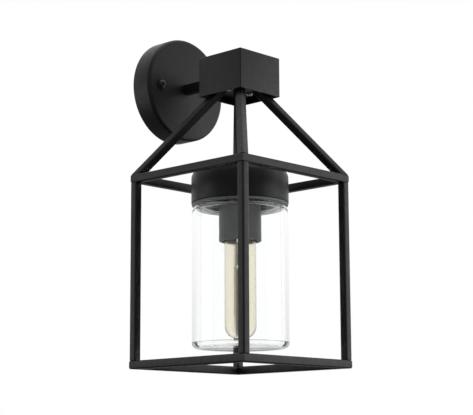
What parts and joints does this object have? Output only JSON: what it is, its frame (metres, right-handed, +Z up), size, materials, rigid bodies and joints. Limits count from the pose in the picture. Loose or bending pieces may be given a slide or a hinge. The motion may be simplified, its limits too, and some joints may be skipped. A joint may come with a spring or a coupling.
{
  "type": "outdoor wall lantern",
  "caption": "Open square cage lantern on a short wall arm, with a screwed clear glass jar over a tubular lamp.",
  "frame": {"origin": "on the wall, midway between the two wall screw slots and level with the arm", "axes": "+Z up, +Y into the wall, -Y out to the front, +X to the right as seen from the front"},
  "size_m": [0.16, 0.184, 0.361],
  "materials": {
    "coat": "matte fine-textured powder coat",
    "black_zinc": "satin black",
    "zinc": "satin zinc plate",
    "brass": "satin",
    "rubber": "matte",
    "silicone": "matte",
    "moulding": "satin gloss",
    "ceramic": "glazed",
    "block": "moulded",
    "clear_glass": "clear, faintly green at its edges",
    "amber_glass": "clear amber",
    "black_glass": "gloss",
    "filament": "dull",
    "lead_brown": "satin",
    "lead_blue": "satin",
    "lead_green": "satin"
  },
  "bodies": {
    "lantern": {"wall_gasket": "rubber", "cable_grommet": "rubber", "canopy_washers": "rubber", "cap_washer": "rubber", "wall_bracket": "zinc", "bracket_posts": "zinc", "terminal_screws": "zinc", "earth_screw": "zinc", "arm_tie": "zinc", "arm_nuts": "zinc", "arm_washers": "zinc", "box_tabs": "zinc", "plate_screws": "zinc", "stem_nipple": "zinc", "stem_nuts": "zinc", "holder_screws": "zinc", "canopy": "coat", "arm_tube": "coat", "head_box": "coat", "head_plate": "coat", "stem_tube": "coat", "lamp_cap": "coat", "roof_bar_front_left": "coat", "roof_bar_front_right": "coat", "roof_bar_back_right": "coat", "roof_bar_back_left": "coat", "post_front_left": "coat", "post_front_right": "coat", "post_back_right": "coat", "post_back_left": "coat", "top_rail_front": "coat", "top_rail_right": "coat", "top_rail_back": "coat", "top_rail_left": "coat", "bottom_rail_front": "coat", "bottom_rail_right": "coat", "bottom_rail_back": "coat", "bottom_rail_left": "coat", "canopy_screws": "black_zinc", "terminal_tubes": "brass", "earth_lug": "brass", "holder_terminals": "brass", "screw_shell": "brass", "centre_contact": "brass", "terminal_block": "block", "holder_base": "moulding", "holder_skirt": "moulding", "holder_insert": "ceramic", "lead_live": "lead_brown", "lead_neutral": "lead_blue", "lead_earth": "lead_green"},
    "glass_seal": {"glass_seal": "silicone"},
    "glass_jar": {"glass_jar": "clear_glass"},
    "lamp_tip": {"bulb_contact": "zinc"},
    "lamp": {"bulb_insulator": "black_glass", "bulb_cap": "brass", "bulb_envelope": "amber_glass", "bulb_stem": "clear_glass", "bulb_wires": "zinc", "bulb_filaments": "filament"}
  },
  "joints": [
    {"name": "glass_drop", "type": "slide", "parent": "lantern", "child": "glass_seal", "axis": [0, 0, -1], "range_m": [0, 0.19]},
    {"name": "glass_turn", "type": "hinge", "parent": "glass_seal", "child": "glass_jar", "pos_m": [0, -0.104, -0.14], "axis": [0, 0, -1], "range_deg": [0, 540]},
    {"name": "lamp_drop", "type": "slide", "parent": "lantern", "child": "lamp_tip", "axis": [0, 0, -1], "range_m": [0, 0.00545]},
    {"name": "lamp_turn", "type": "hinge", "parent": "lamp_tip", "child": "lamp", "pos_m": [0, -0.104, -0.16], "axis": [0, 0, -1], "range_deg": [0, 540]}
  ],
  "couplings": [
    {"joint": "lamp_turn", "follows": "lamp_drop", "rad_per_m": 1730.9}
  ]
}
